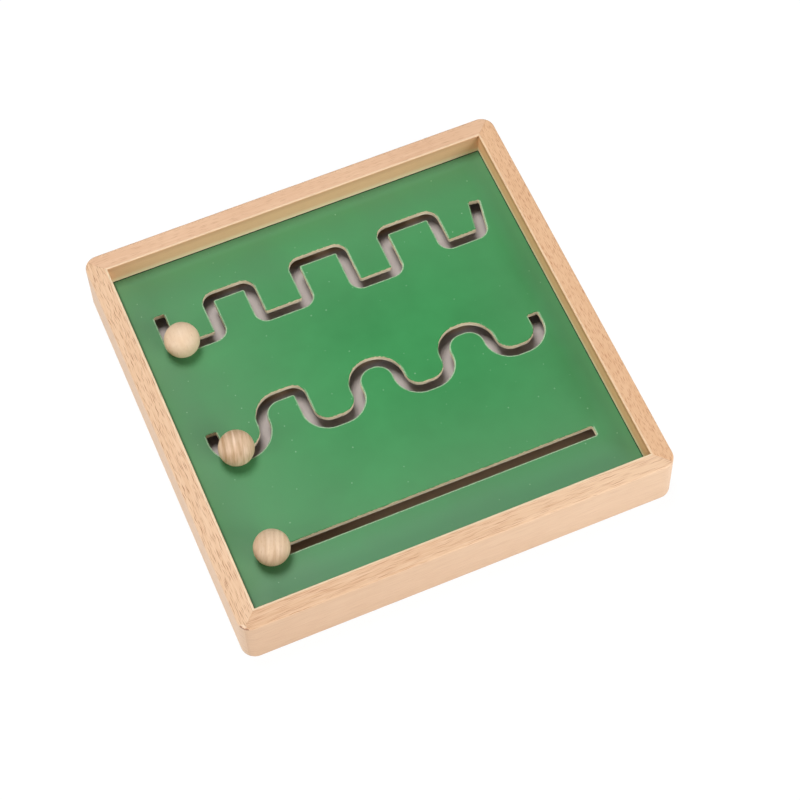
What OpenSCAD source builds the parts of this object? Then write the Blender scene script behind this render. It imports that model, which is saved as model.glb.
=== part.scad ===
// Wooden tracing board: a mitred beech frame holds a green slotted panel. Three round knobs
// run in the slots, each held by a peg, a washer under the panel and a screw.
// Millimetres, +Z up, origin at the middle of the frame's underside, the straight track in front (-Y).

/* [Frame] */
// Outside length and width of the square frame
board_size = 220; // [200:1:260]
// Height of the frame
frame_h = 30; // [28:0.5:40]
// Thickness of each rail, seen from above
rail_w = 10; // [10:0.5:14]
// Radius of the upright outer corners
corner_r = 7; // [3:0.5:9]
// Round-over of the outer top and bottom edges
outer_ease = 0.9; // [0.3:0.1:1.5]
// Round-over of the inner top edges
inner_ease = 0.5; // [0.2:0.1:1]
// Diameter of the dowels hidden in the mitres
dowel_d = 4; // [3:0.5:5]
// Length of each mitre dowel
dowel_l = 8; // [5:0.5:8]

/* [Panel and base board] */
// Depth from the frame's top edge down to the panel's face
panel_drop = 12.8; // [9:0.1:14]
// Thickness of the slotted panel
panel_t = 3.2; // [2.6:0.1:4.5]
// Depth of the groove that holds the panel's edges
groove_depth = 4; // [3:0.5:5]
// Thickness of the base board
base_t = 3; // [2:0.5:4]
// Height of the base board above the frame's lower edge
base_inset = 3.8; // [0.4:0.1:5]
// Width of the rebate that takes the base board
rebate_w = 5; // [4:0.5:6]
// Space left round the edges of the panel and the base board
board_gap = 0.3; // [0.1:0.05:0.5]
// Height left over the panel in its groove
panel_slip = 0.1; // [0.05:0.05:0.3]
// Distance between the two panel pins on each side
pin_spacing = 140; // [60:1:170]
// Shank diameter of the panel pins
pin_d = 1.2; // [0.8:0.1:1.6]
// Length of the panel pins under their heads
pin_l = 9; // [6:0.5:9.5]

/* [Tracks] */
// Width of every slot
slot_w = 5.5; // [4.6:0.1:6.5]
// Distance from the frame's inner face to the first and the last leg of a winding track
track_margin = 15.4; // [12:0.2:20]
// Number of crests on each winding track
crests = 3; // [2:1:4]
// Corner radius at the closed ends of the slots
end_r = 1; // [0.4:0.1:2]
// Share of their hand-drawn unevenness that the winding tracks keep
wander = 1; // [0:0.25:1]

/* [Square track] */
// Distance from the back rail's inner face to the line across the legs of the square track
square_from_back = 38; // [32:0.5:44]
// Height of its crests over that line
square_crest = 11.8; // [9:0.1:16]
// Depth of its troughs under that line
square_trough = 11.5; // [9:0.1:16]
// Height of its two open ends over that line
square_end = 10.6; // [6:0.1:14]
// Bend radius of its centre line
square_bend = 3.6; // [3.4:0.1:8]
// Lean of its last leg to the right, in degrees
square_lean = 10.5; // [0:0.5:15]

/* [Round track] */
// Line across the legs of the round track, from the board's middle
wave_y = -4.6; // [-12:0.2:4]
// Height of its crests over that line
wave_crest = 10.9; // [8:0.1:14]
// Depth of its troughs under that line
wave_trough = 12.5; // [10:0.1:16]
// Height of its two open ends over that line
wave_end = 4.6; // [2:0.1:8]
// Bend radius of its centre line
wave_bend = 10.5; // [7:0.1:12]
// Bend radius where it leaves the first crest
wave_tight_bend = 4; // [3.4:0.1:12]

/* [Straight track] */
// Distance from the front rail's inner face to the middle of the straight track
straight_from_front = 28; // [20:0.5:40]
// Distance from the frame's inner face to each end of the straight track
straight_margin = 15; // [11:0.5:30]

/* [Knobs] */
// Diameter of the wooden balls
ball_d = 17.6; // [15:0.2:20]
// Height of the flat turned on the underside of a ball
ball_flat = 1.6; // [0.4:0.1:2.4]
// Space between a ball and the panel
ball_lift = 0.3; // [0.2:0.1:1]
// Play of a peg in its slot, on each side
peg_play = 0.35; // [0.25:0.05:0.6]
// Depth of the peg in its ball
peg_seat = 9; // [6:0.5:12]
// Diameter of the retaining washer under the panel
washer_d = 13; // [11:0.5:16]
// Thickness of the retaining washer
washer_t = 3; // [2:0.25:4]
// Space between the washer and the panel
washer_drop = 0.4; // [0.3:0.05:0.8]
// Shank diameter of the knob screws
screw_d = 2.2; // [1.8:0.1:2.6]
// Head diameter of the knob screws
screw_head_d = 5; // [4:0.2:6]
// Height of the screw heads
screw_head_h = 1.6; // [1.2:0.1:2]
// Length of the screw in the peg
screw_grip = 7; // [5:0.5:9]
// Distance of the square track's knob from the first leg
square_knob_at = 4.8; // [4.2:0.2:18]
// Lean of the round track's knob from the bottom of its trough, in degrees
wave_knob_lean = 24; // [-60:1:60]
// Distance of the straight track's knob from the slot's left end
straight_knob_at = 4.2; // [3.4:0.2:100]

/* [Hidden] */
$fn = 96;

// Spare length of every cutter past the face that it opens
over = 1;
// Running clearance of a pin or screw in wood
shank_gap = 0.03;
// Running clearance of the screw in the washer, all round
washer_gap = 0.06;
// Play of the washer between the peg and the screw head
washer_play = 0.1;
// Glue space round a dowel and round a peg in its ball
glue_gap = 0.05;
// Space left beyond the end of a dowel, a peg or a screw in its hole
end_gap = 0.3;
// Head of a panel pin, as a share of its shank, and its thickness
pin_head_d = pin_d * 1.9;
pin_head_h = 0.6;
// Chamfer on the rims of the washers
washer_chamfer = 0.4;
// Cross recess of a knob screw
recess_w = 0.7;
recess_l = screw_head_d * 0.62;
recess_h = screw_head_h * 0.55;

opening = board_size - 2 * rail_w;
half_open = opening / 2;
half_board = board_size / 2;

// Heights
panel_top = frame_h - panel_drop;
panel_z = panel_top - panel_t;
base_top = base_inset + base_t;
ball_z = panel_top + ball_lift + ball_d / 2 - ball_flat;
washer_top = panel_z - washer_drop;
peg_end = washer_top + washer_play;
head_top = washer_top - washer_t - washer_play;

panel_size = opening + 2 * (groove_depth - board_gap);
base_size = opening + 2 * (rebate_w - board_gap);
peg_d = slot_w - 2 * peg_play;

// Dowels lie across the mitre, halfway through the rail, under and over the panel's groove
dowel_out = (half_open + rail_w / 2) * sqrt(2);
dowel_heights = [(base_top + panel_z) / 2, (panel_top + panel_slip + frame_h) / 2];
// Pins pass the base board's margin halfway along the rebate
pin_out = half_open + (rebate_w - board_gap) / 2;

// The lines that the tracks lie on
square_y = half_open - square_from_back;
straight_y = -half_open + straight_from_front;
straight_l = opening - 2 * straight_margin;

// Winding tracks. Legs stand on an even pitch and levels alternate between trough and crest,
// with the small shifts of a track that was drawn by hand, in hundredths of the pitch. Places
// along a track are whole steps, so that the stretches of slot meet exactly.
place_step = 0.02;
track_l = opening - 2 * track_margin;
legs = 2 * crests + 2;
leg_pitch = track_l / (legs - 1);
square_leg_shift = [0, 4.1, -5.8, -2.9, 1.2, -5.8, 6.2, -8.7];
square_level_shift = [-0.8, -4.1, 2.5, 2.5, -2.5, 2.1, 12.8];
wave_leg_shift = [0, 5.8, -2.9, 5, -4.1, 0.4, -3.3, 1.2];
wave_level_shift = [-1.2, 2.9, -1.7, -1.7, 0.4, -1.7, 3.7];

function drift(shift, i) = wander * leg_pitch * shift[i % len(shift)] / 100;
function stepped(place) = round(place / place_step) * place_step;
function leg_x(i, shift) = stepped(-track_l / 2 + i * leg_pitch + drift(shift, i));
function is_crest(i) = i % 2 == 1;
function level_y(i, line, crest, trough, shift) =
    stepped(line + (is_crest(i) ? crest : -trough) + drift(shift, i));
// The bend of span i: the wished radius, but no more than half the span or the rise allows
function bend_of(i, bend, leg_shift, rise) =
    min(bend, (leg_x(i + 1, leg_shift) - leg_x(i, leg_shift)) / 2, rise);

// The round track starts with a full half circle, whose middle the knob swings about
wave_first_x = (leg_x(0, wave_leg_shift) + leg_x(1, wave_leg_shift)) / 2;
wave_first_level = level_y(0, wave_y, wave_crest, wave_trough, wave_level_shift);
wave_first_r = min((leg_x(1, wave_leg_shift) - leg_x(0, wave_leg_shift)) / 2, wave_y - wave_first_level);

square_knob = [leg_x(0, square_leg_shift) + square_knob_at,
    level_y(0, square_y, square_crest, square_trough, square_level_shift)];
round_knob = [wave_first_x - wave_first_r * sin(wave_knob_lean),
    wave_first_level + wave_first_r * (1 - cos(wave_knob_lean))];
straight_knob = [-straight_l / 2 + straight_knob_at, straight_y];

beech = [0.91, 0.75, 0.6];
beech_end = [0.84, 0.66, 0.5];
green = [0.28, 0.6, 0.36];
fibreboard = [0.66, 0.6, 0.58];
ball_wood = [0.92, 0.82, 0.69];
peg_wood = [0.87, 0.76, 0.6];
ply = [0.8, 0.68, 0.5];
steel = [0.72, 0.72, 0.74];

// The corner of a square with side r, less the quarter circle that rounds it
module spandrel(r) {
    difference() {
        square(r);
        circle(r);
    }
}

// Section of a rail: x runs from the inner face outwards, y upwards
module rail_section() {
    difference() {
        square([rail_w, frame_h]);
        translate([-over, panel_z])
            square([groove_depth + over, panel_t + panel_slip]);
        translate([-over, -over])
            square([rebate_w + over, base_top + over]);
        translate([rail_w - outer_ease, frame_h - outer_ease])
            spandrel(outer_ease);
        translate([rail_w - outer_ease, outer_ease])
            mirror([0, 1]) spandrel(outer_ease);
        translate([inner_ease, frame_h - inner_ease])
            mirror([1, 0]) spandrel(inner_ease);
    }
}

// What is taken off one upright outer corner of the frame, drawn at the +X +Y corner
module corner_trim() {
    translate([half_board - corner_r, half_board - corner_r, 0]) {
        translate([0, 0, -over])
            linear_extrude(frame_h + 2 * over)
                difference() {
                    square(corner_r + over);
                    circle(corner_r);
                }
        rotate_extrude(angle = 90) {
            translate([corner_r - outer_ease, frame_h - outer_ease])
                spandrel(outer_ease);
            translate([corner_r - outer_ease, outer_ease])
                mirror([0, 1]) spandrel(outer_ease);
        }
    }
}

// Holes for the two dowels of one corner, drawn at the +X +Y corner
module corner_dowel_pair(r, l) {
    for (z = dowel_heights)
        rotate([0, 0, 45])
            translate([dowel_out, 0, z])
                rotate([90, 0, 0])
                    cylinder(h = l, r = r, center = true);
}

// One mitred rail, drawn at the front and turned to its side
module rail(turn) {
    rotate([0, 0, turn])
        difference() {
            intersection() {
                translate([0, -half_open, 0])
                    rotate([90, 0, -90])
                        linear_extrude(board_size, center = true)
                            rail_section();
                translate([0, 0, -over])
                    linear_extrude(frame_h + 2 * over)
                        polygon([[0, 0], [-board_size, -board_size], [board_size, -board_size]]);
            }
            for (corner = [180, 270])
                rotate([0, 0, corner]) {
                    corner_trim();
                    corner_dowel_pair(dowel_d / 2 + glue_gap, dowel_l + 2 * end_gap);
                }
            for (side = [-1, 1])
                translate([side * pin_spacing / 2, -pin_out, base_top - over])
                    cylinder(h = pin_l - base_t + end_gap + over, r = pin_d / 2 + shank_gap);
        }
}

module front_rail() {
    color(beech) rail(0);
}

module right_rail() {
    color(beech) rail(90);
}

module back_rail() {
    color(beech) rail(180);
}

module left_rail() {
    color(beech) rail(270);
}

module corner_dowels() {
    color(beech_end)
        for (corner = [0 : 90 : 270])
            rotate([0, 0, corner])
                corner_dowel_pair(dowel_d / 2, dowel_l);
}

// A quarter of the bend between a leg and a level: the slot swept about the bend's middle
module quarter_bend(x, y, r, turn) {
    translate([x, y, panel_z - over])
        rotate([0, 0, turn])
            rotate_extrude(angle = 90)
                translate([r - slot_w / 2, 0])
                    square([slot_w, panel_t + 2 * over]);
}

// A straight stretch of slot between two corners
module straight_run(x_low, y_low, x_high, y_high) {
    translate([x_low, y_low, panel_z - over])
        cube([x_high - x_low, y_high - y_low, panel_t + 2 * over]);
}

// What rounds one closed end of a slot that runs along x, drawn about the end's middle
module end_rounding() {
    for (side = [0, 1])
        mirror([0, side, 0])
            translate([-end_r, slot_w / 2 - end_r, 0])
                linear_extrude(panel_t + 2 * over)
                    spandrel(end_r);
}

// A straight stretch of slot that starts at a place, heads in a direction and has a closed end
module closed_run(x, y, length, heading) {
    translate([x, y, panel_z - over])
        rotate([0, 0, heading])
            difference() {
                translate([0, -slot_w / 2, 0])
                    cube([length, slot_w, panel_t + 2 * over]);
                translate([length, 0, 0])
                    end_rounding();
            }
}

// A winding track: a leg between each level and the next, and a bend at both ends of each level.
// The first crest is left by a tight bend, and the last leg leans.
module winding_track(line, crest, trough, end_h, bend, first_bend, tight_bend, lean,
        leg_shift, level_shift) {
    xs = [for (i = [0 : legs - 1]) leg_x(i, leg_shift)];
    levels = [for (i = [0 : legs - 2]) level_y(i, line, crest, trough, level_shift)];
    // The bends that lead on to each level and off it
    on_bends = [for (i = [0 : legs - 2])
        bend_of(i, i == 0 ? first_bend : bend, leg_shift, abs(levels[i] - line))];
    off_bends = [for (i = [0 : legs - 2]) i == 1 ? min(tight_bend, on_bends[i]) : on_bends[i]];
    // Where those bends meet the legs
    on_feet = [for (i = [0 : legs - 2]) levels[i] + (is_crest(i) ? -1 : 1) * on_bends[i]];
    off_feet = [for (i = [0 : legs - 2]) levels[i] + (is_crest(i) ? -1 : 1) * off_bends[i]];
    for (i = [0 : legs - 2]) {
        quarter_bend(xs[i] + on_bends[i], on_feet[i], on_bends[i], is_crest(i) ? 90 : 180);
        quarter_bend(xs[i + 1] - off_bends[i], off_feet[i], off_bends[i], is_crest(i) ? 0 : 270);
        if (xs[i + 1] - xs[i] > on_bends[i] + off_bends[i])
            straight_run(xs[i] + on_bends[i], levels[i] - slot_w / 2,
                xs[i + 1] - off_bends[i], levels[i] + slot_w / 2);
    }
    for (i = [1 : legs - 2])
        straight_run(xs[i] - slot_w / 2, min(off_feet[i - 1], on_feet[i]),
            xs[i] + slot_w / 2, max(off_feet[i - 1], on_feet[i]));
    closed_run(xs[0], on_feet[0], line + end_h - on_feet[0], 90);
    // A leaning leg starts inside its bend, so that no splinter stays between the two
    lap = slot_w * tan(lean);
    last = legs - 1;
    foot = off_feet[last - 1];
    closed_run(xs[last] - lap * sin(lean), foot - lap * cos(lean),
        (line + end_h - foot) / cos(lean) + lap, 90 - lean);
}

module square_track() {
    winding_track(square_y, square_crest, square_trough, square_end, square_bend, square_bend, square_bend,
        wander * square_lean, square_leg_shift, square_level_shift);
}

module round_track() {
    winding_track(wave_y, wave_crest, wave_trough, wave_end, wave_bend, wave_first_r, wave_tight_bend,
        0, wave_leg_shift, wave_level_shift);
}

module straight_track() {
    for (heading = [0, 180])
        closed_run(0, straight_y, straight_l / 2, heading);
}

module track_panel() {
    color(green)
        difference() {
            translate([-panel_size / 2, -panel_size / 2, panel_z])
                cube([panel_size, panel_size, panel_t]);
            square_track();
            round_track();
            straight_track();
        }
}

// The eight places of the panel pins: two on each side of the frame
module at_pins() {
    for (turn = [0 : 90 : 270], side = [-1, 1])
        rotate([0, 0, turn])
            translate([side * pin_spacing / 2, -pin_out, base_inset])
                children();
}

module base_board() {
    color(fibreboard)
        difference() {
            translate([-base_size / 2, -base_size / 2, base_inset])
                cube([base_size, base_size, base_t]);
            at_pins() {
                translate([0, 0, -over])
                    cylinder(h = base_t + 2 * over, r = pin_d / 2 + shank_gap);
                translate([0, 0, -over])
                    cylinder(h = pin_head_h + over, r = pin_head_d / 2 + shank_gap);
            }
        }
}

module base_board_pins() {
    color(steel)
        at_pins() {
            cylinder(h = pin_head_h, r = pin_head_d / 2);
            cylinder(h = pin_l, r = pin_d / 2);
        }
}

module knob_ball(place) {
    color(ball_wood)
        translate([place.x, place.y, ball_z])
            difference() {
                sphere(d = ball_d);
                translate([-ball_d, -ball_d, -2 * ball_d - ball_d / 2 + ball_flat])
                    cube([2 * ball_d, 2 * ball_d, 2 * ball_d]);
                translate([0, 0, -ball_d / 2 + ball_flat - over])
                    cylinder(h = peg_seat + end_gap + over, r = peg_d / 2 + glue_gap);
            }
}

module knob_peg(place) {
    seat_top = ball_z - ball_d / 2 + ball_flat + peg_seat;
    color(peg_wood)
        translate([place.x, place.y, peg_end])
            difference() {
                cylinder(h = seat_top - peg_end, d = peg_d);
                translate([0, 0, -over])
                    cylinder(h = screw_grip + end_gap + over, r = screw_d / 2 + shank_gap);
            }
}

module knob_washer(place) {
    rim_h = washer_t - 2 * washer_chamfer;
    r = washer_d / 2;
    color(ply)
        translate([place.x, place.y, washer_top - washer_t])
            difference() {
                union() {
                    cylinder(h = washer_chamfer, r1 = r - washer_chamfer, r2 = r);
                    translate([0, 0, washer_chamfer])
                        cylinder(h = rim_h, r = r);
                    translate([0, 0, washer_chamfer + rim_h])
                        cylinder(h = washer_chamfer, r1 = r, r2 = r - washer_chamfer);
                }
                translate([0, 0, -over])
                    cylinder(h = washer_t + 2 * over, r = screw_d / 2 + washer_gap);
            }
}

module knob_screw(place) {
    shank_h = peg_end + screw_grip - head_top;
    edge_h = screw_head_h * 0.45;
    color(steel)
        translate([place.x, place.y, head_top - screw_head_h])
            difference() {
                union() {
                    cylinder(h = screw_head_h - edge_h, r1 = screw_head_d * 0.36, r2 = screw_head_d / 2);
                    translate([0, 0, screw_head_h - edge_h])
                        cylinder(h = edge_h, d = screw_head_d);
                    translate([0, 0, screw_head_h])
                        cylinder(h = shank_h, d = screw_d);
                }
                for (turn = [0, 90])
                    rotate([0, 0, turn])
                        translate([-recess_l / 2, -recess_w / 2, -over])
                            cube([recess_l, recess_w, recess_h + over]);
            }
}

module square_track_ball() {
    knob_ball(square_knob);
}

module square_track_peg() {
    knob_peg(square_knob);
}

module square_track_washer() {
    knob_washer(square_knob);
}

module square_track_screw() {
    knob_screw(square_knob);
}

module round_track_ball() {
    knob_ball(round_knob);
}

module round_track_peg() {
    knob_peg(round_knob);
}

module round_track_washer() {
    knob_washer(round_knob);
}

module round_track_screw() {
    knob_screw(round_knob);
}

module straight_track_ball() {
    knob_ball(straight_knob);
}

module straight_track_peg() {
    knob_peg(straight_knob);
}

module straight_track_washer() {
    knob_washer(straight_knob);
}

module straight_track_screw() {
    knob_screw(straight_knob);
}

front_rail();
right_rail();
back_rail();
left_rail();
corner_dowels();
track_panel();
base_board();
base_board_pins();
square_track_ball();
square_track_peg();
square_track_washer();
square_track_screw();
round_track_ball();
round_track_peg();
round_track_washer();
round_track_screw();
straight_track_ball();
straight_track_peg();
straight_track_washer();
straight_track_screw();
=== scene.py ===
import math

import bpy
import numpy as np
from mathutils import Matrix, Quaternion, Vector, noise
from mathutils.geometry import delaunay_2d_cdt


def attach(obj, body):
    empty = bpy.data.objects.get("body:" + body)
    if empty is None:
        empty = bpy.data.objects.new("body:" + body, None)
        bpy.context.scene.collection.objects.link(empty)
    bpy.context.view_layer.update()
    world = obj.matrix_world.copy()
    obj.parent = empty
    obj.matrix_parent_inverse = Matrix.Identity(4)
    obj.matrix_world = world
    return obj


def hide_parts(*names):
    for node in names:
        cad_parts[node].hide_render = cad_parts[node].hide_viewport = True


# A wooden tracing board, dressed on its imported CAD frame. Shapes are written in millimetres and
# become metres as each mesh is made. +Z is up, and the straight track lies in front, at -Y.
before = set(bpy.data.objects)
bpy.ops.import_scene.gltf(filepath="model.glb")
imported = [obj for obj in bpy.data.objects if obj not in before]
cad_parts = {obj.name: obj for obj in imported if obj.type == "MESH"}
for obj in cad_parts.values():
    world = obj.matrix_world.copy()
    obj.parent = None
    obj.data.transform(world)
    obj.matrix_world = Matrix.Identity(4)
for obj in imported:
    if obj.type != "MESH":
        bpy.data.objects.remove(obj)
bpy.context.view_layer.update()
mm = 0.001
up = Vector((0, 0, 1))


# A mesh piece in millimetres, with point attributes by name, smooth but for edges over sharpAngle
def makePiece(name, points, faces, attributes=None, sharpAngle=38):
    mesh = bpy.data.meshes.new(name)
    mesh.from_pydata([[c * mm for c in p] for p in points], [], faces)
    for key, values in (attributes or {}).items():
        mesh.attributes.new(key, "FLOAT", "POINT").data.foreach_set("value", values)
    mesh.shade_smooth()
    mesh.set_sharp_from_angle(angle=math.radians(sharpAngle))
    return linked(bpy.data.objects.new(name, mesh))


def linked(item):
    bpy.context.scene.collection.objects.link(item)
    return item


# Quads between rows of count points, each row closed on itself, and an end face at both outer rows
# if capped
def ringFaces(rows, count, start=0, flipped=False, capped=False):
    faces = []
    for i in range(rows - 1):
        low, high = start + i * count, start + (i + 1) * count
        for k in range(count):
            after = (k + 1) % count
            face = [low + k, low + after, high + after, high + k]
            faces.append([face[n] for n in (0, 3, 2, 1)] if flipped else face)
    if capped:
        last = start + (rows - 1) * count
        ends = [list(range(start, start + count))[::-1], list(range(last, last + count))]
        faces += [end[::-1] for end in ends] if flipped else ends
    return faces


def aroundAxis(place, radius, angle, height):
    return place[0] + radius * math.cos(angle), place[1] + radius * math.sin(angle), height


# A turned piece about a vertical axis at place, from (radius, height) points that go round its
# section with the material on their left. Points on the axis become one pole.
def makeTurned(name, section, place, sides=64, closed=False):
    points, rings, faces = [], [], []
    for radius, height in section:
        if radius < 1e-6:
            rings.append([len(points)] * sides)
            points.append((place[0], place[1], height))
            continue
        rings.append(list(range(len(points), len(points) + sides)))
        points += [aroundAxis(place, radius, math.tau * k / sides, height) for k in range(sides)]
    pairs = list(zip(rings, rings[1:])) + ([(rings[-1], rings[0])] if closed else [])
    for low, high in pairs:
        for k in range(sides):
            after = (k + 1) % sides
            corners = [low[k], low[after], high[after], high[k]]
            face = [c for n, c in enumerate(corners) if c not in corners[:n]]
            if len(face) > 2:
                faces.append(face)
    return makePiece(name, points, faces)


# An sRGB colour, 0 to 255, as the linear colour that a socket takes
def tint(red, green, blue):
    linear = []
    for value in (red / 255, green / 255, blue / 255):
        linear.append(value / 12.92 if value <= 0.04045 else ((value + 0.055) / 1.055) ** 2.4)
    return (*linear, 1.0)


def isSocket(value):
    return isinstance(value, bpy.types.NodeSocket)


# A node with its settings as names and its sockets in values, by name or number. A value that is
# a socket is linked.
def addNode(tree, kind, values=None, **settings):
    node = tree.nodes.new(kind)
    for key, value in settings.items():
        setattr(node, key, value)
    for key, value in (values or {}).items():
        if isSocket(value):
            tree.links.new(value, node.inputs[key])
        else:
            node.inputs[key].default_value = value
    return node


# One output of a node in the tree that its linked values belong to
def outputOf(kind, values, output=0, **settings):
    tree = next(value.id_data for value in values.values() if isSocket(value))
    return addNode(tree, kind, values, **settings).outputs[output]


def mathOf(operation, first, second=0.5, clamp=False):
    return outputOf("ShaderNodeMath", {0: first, 1: second}, operation=operation, use_clamp=clamp)


def times(first, second, clamp=False):
    return mathOf("MULTIPLY", first, second, clamp)


def largest(first, *others):
    for other in others:
        first = mathOf("MAXIMUM", first, other)
    return first


# The sum of values, each by its weight
def sumOf(*terms, clamp=False):
    parts = [value if weight == 1 else times(value, weight) for value, weight in terms]
    total = parts[0]
    for part in parts[1:]:
        total = mathOf("ADD", total, part, clamp and part is parts[-1])
    return total


# A mix of two colours, each a socket or an sRGB triple
def blendOf(share, first, second):
    first, second = [c if isSocket(c) else tint(*c) for c in (first, second)]
    return outputOf("ShaderNodeMix", {0: share, 6: first, 7: second}, 2, data_type="RGBA")


# Colours laid one over the other, each by its mask
def layered(colour, *layers):
    for mask, over in layers:
        colour = blendOf(mask, colour, over)
    return colour


def rangeOf(value, low, high, toLow=0.0, toHigh=1.0):
    return outputOf("ShaderNodeMapRange", {0: value, 1: low, 2: high, 3: toLow, 4: toHigh})


def attributeOf(tree, name):
    return addNode(tree, "ShaderNodeAttribute", attribute_name=name).outputs["Fac"]


def vectorOf(operation, first, second, output=0):
    return outputOf("ShaderNodeVectorMath", {0: first, 1: second}, output, operation=operation)


def partsOf(vector):
    return tuple(addNode(vector.id_data, "ShaderNodeSeparateXYZ", {0: vector}).outputs)


def joinOf(*parts):
    return outputOf("ShaderNodeCombineXYZ", dict(enumerate(parts)))


def scaledOf(vector, factor):
    return outputOf("ShaderNodeVectorMath", {0: vector, 3: factor}, operation="SCALE")


def stretch(vector, x, y, z):
    return vectorOf("MULTIPLY", vector, (x, y, z))


# Object coordinates in millimetres, shifted and turned so that the grain runs along X
def grainSpace(tree, turn=(0, 0, 0), shift=(0, 0, 0)):
    place = addNode(tree, "ShaderNodeTexCoord").outputs["Object"]
    turned = outputOf("ShaderNodeMapping", {"Vector": place, "Rotation": [math.radians(a) for a in turn],
                                            "Scale": (1 / mm,) * 3})
    return vectorOf("ADD", turned, shift)


def noiseOf(vector, scale=1.0, detail=2.0, roughness=0.5, warp=0.0):
    return outputOf("ShaderNodeTexNoise", {"Vector": vector, "Scale": scale, "Detail": detail,
                                           "Roughness": roughness, "Distortion": warp}, "Fac")


# Cells of a flat pattern: the distance from each one's middle, and three chance values
def cellsOf(space):
    cells = addNode(space.id_data, "ShaderNodeTexVoronoi", {"Vector": space, "Scale": 1.0}, feature="F1",
                    voronoi_dimensions="2D").outputs
    return cells["Distance"], addNode(space.id_data, "ShaderNodeSeparateColor", {0: cells["Color"]}).outputs


# An empty shader group with its named sockets. An input without a value is a vector.
def newGroup(name, inputs, outputs):
    group = bpy.data.node_groups.new(name, "ShaderNodeTree")
    for label, value in inputs.items():
        kind = "NodeSocketVector" if value is None else "NodeSocketFloat"
        socket = group.interface.new_socket(name=label, in_out="INPUT", socket_type=kind)
        if value is not None:
            socket.default_value = value
    for label in outputs:
        group.interface.new_socket(name=label, in_out="OUTPUT", socket_type="NodeSocketFloat")
    return group, group.nodes.new("NodeGroupInput").outputs, group.nodes.new("NodeGroupOutput").inputs


# Grain of a planed board: long soft streaks, fine lines and wide growth bands. Its Vector is in
# millimetres with the grain along X.
def buildGrainGroup():
    group, given, made = newGroup("woodGrain", {
        "Vector": None, "Streak Width": 1.4, "Streak Length": 60.0, "Band Spacing": 5.0, "Band Bend": 1.5},
        ["Streaks", "Lines", "Bands"])
    x, y, z = partsOf(given["Vector"])
    space = joinOf(mathOf("DIVIDE", x, given["Streak Length"]),
                   mathOf("DIVIDE", y, given["Streak Width"]), mathOf("DIVIDE", z, given["Streak Width"]))
    streaks = noiseOf(space, 1.0, 3.0, 0.55, 0.35)
    fine = noiseOf(stretch(given["Vector"], 0.07, 2.6, 2.6), 1.0, 3.0, 0.6)
    bend = noiseOf(stretch(given["Vector"], 0.012, 0.05, 0.05), 1.0, 1.0)
    shifted = times(mathOf("SUBTRACT", bend, 0.5), given["Band Bend"])
    across = mathOf("DIVIDE", sumOf((y, 1), (z, 0.45)), given["Band Spacing"])
    wave = mathOf("SINE", times(sumOf((across, 1), (shifted, 1)), math.tau))
    for label, value, low, high in (("Streaks", streaks, 0.34, 0.66), ("Lines", fine, 0.36, 0.68),
                                    ("Bands", wave, -1.0, 1.0)):
        group.links.new(rangeOf(value, low, high), made[label])
    return group


# The short dark rays of beech, thin spindles of mixed length along the grain. Its Vector is flat:
# X along the grain and Y across it.
def buildFleckGroup():
    group, given, made = newGroup("beechFlecks", {"Vector": None, "Length": 2.2, "Width": 0.3, "Share": 0.4},
                                  ["Flecks"])
    wobble = noiseOf(stretch(given["Vector"], 0.2, 0.3, 0.0), 1.0, 1.0)
    x, y, _ = partsOf(given["Vector"])
    long = mathOf("DIVIDE", x, times(given["Length"], 2.0))
    across = mathOf("DIVIDE", sumOf((y, 1), (wobble, 1.2)), times(given["Width"], 4.0))
    distance, chance = cellsOf(joinOf(long, across))
    reach = mathOf("DIVIDE", distance, rangeOf(chance[1], 0.0, 1.0, 0.5, 1.4))
    shape = times(rangeOf(reach, 0.10, 0.30, 1.0, 0.0), rangeOf(chance[2], 0.0, 1.0, 0.35, 1.0))
    kept = mathOf("LESS_THAN", chance[0], given["Share"])
    group.links.new(times(shape, kept), made["Flecks"])
    return group


# Soft uneven tone and a fine grain, for paint, fibreboard and bare wood
def buildMottleGroup():
    group, given, made = newGroup("softMottle", {"Vector": None, "Size": 12.0, "Fine Size": 0.5}, ["Tone", "Fine"])
    for label, size, detail, roughness in (("Tone", "Size", 3.0, 0.55), ("Fine", "Fine Size", 2.0, 0.6)):
        space = scaledOf(given["Vector"], mathOf("DIVIDE", 1.0, given[size]))
        group.links.new(rangeOf(noiseOf(space, 1.0, detail, roughness), 0.3, 0.7), made[label])
    return group


# Small round specks, a share of the cells of a grid of Spacing millimetres
def buildSpeckGroup():
    group, given, made = newGroup("paintSpecks", {"Vector": None, "Spacing": 6.0, "Radius": 0.2, "Share": 0.3},
                                  ["Specks"])
    spacing = given["Spacing"]
    distance, chance = cellsOf(scaledOf(given["Vector"], mathOf("DIVIDE", 1.0, spacing)))
    reach = times(mathOf("DIVIDE", given["Radius"], spacing), mathOf("ADD", chance[1], 0.4))
    near = mathOf("SUBTRACT", reach, distance)
    shape = times(near, times(spacing, 9.0), clamp=True)
    kept = mathOf("LESS_THAN", chance[0], given["Share"])
    group.links.new(times(shape, kept), made["Specks"])
    return group


grainGroup = buildGrainGroup()
fleckGroup = buildFleckGroup()
mottleGroup = buildMottleGroup()
speckGroup = buildSpeckGroup()


def grouped(group, values):
    return addNode(values["Vector"].id_data, "ShaderNodeGroup", values, node_tree=group).outputs


def grainOf(vector, look):
    return grouped(grainGroup, {
        "Vector": vector, "Streak Width": look["streakWidth"], "Streak Length": look["streakLength"],
        "Band Spacing": look["bandSpacing"], "Band Bend": look["bandBend"]})


def flecksOf(vector, look):
    return grouped(fleckGroup, {"Vector": vector, "Length": look["fleckLength"], "Width": look["fleckWidth"],
                                "Share": look["fleckShare"]})[0]


def mottleOf(vector, size, fineSize):
    return grouped(mottleGroup, {"Vector": vector, "Size": size, "Fine Size": fineSize})


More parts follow.
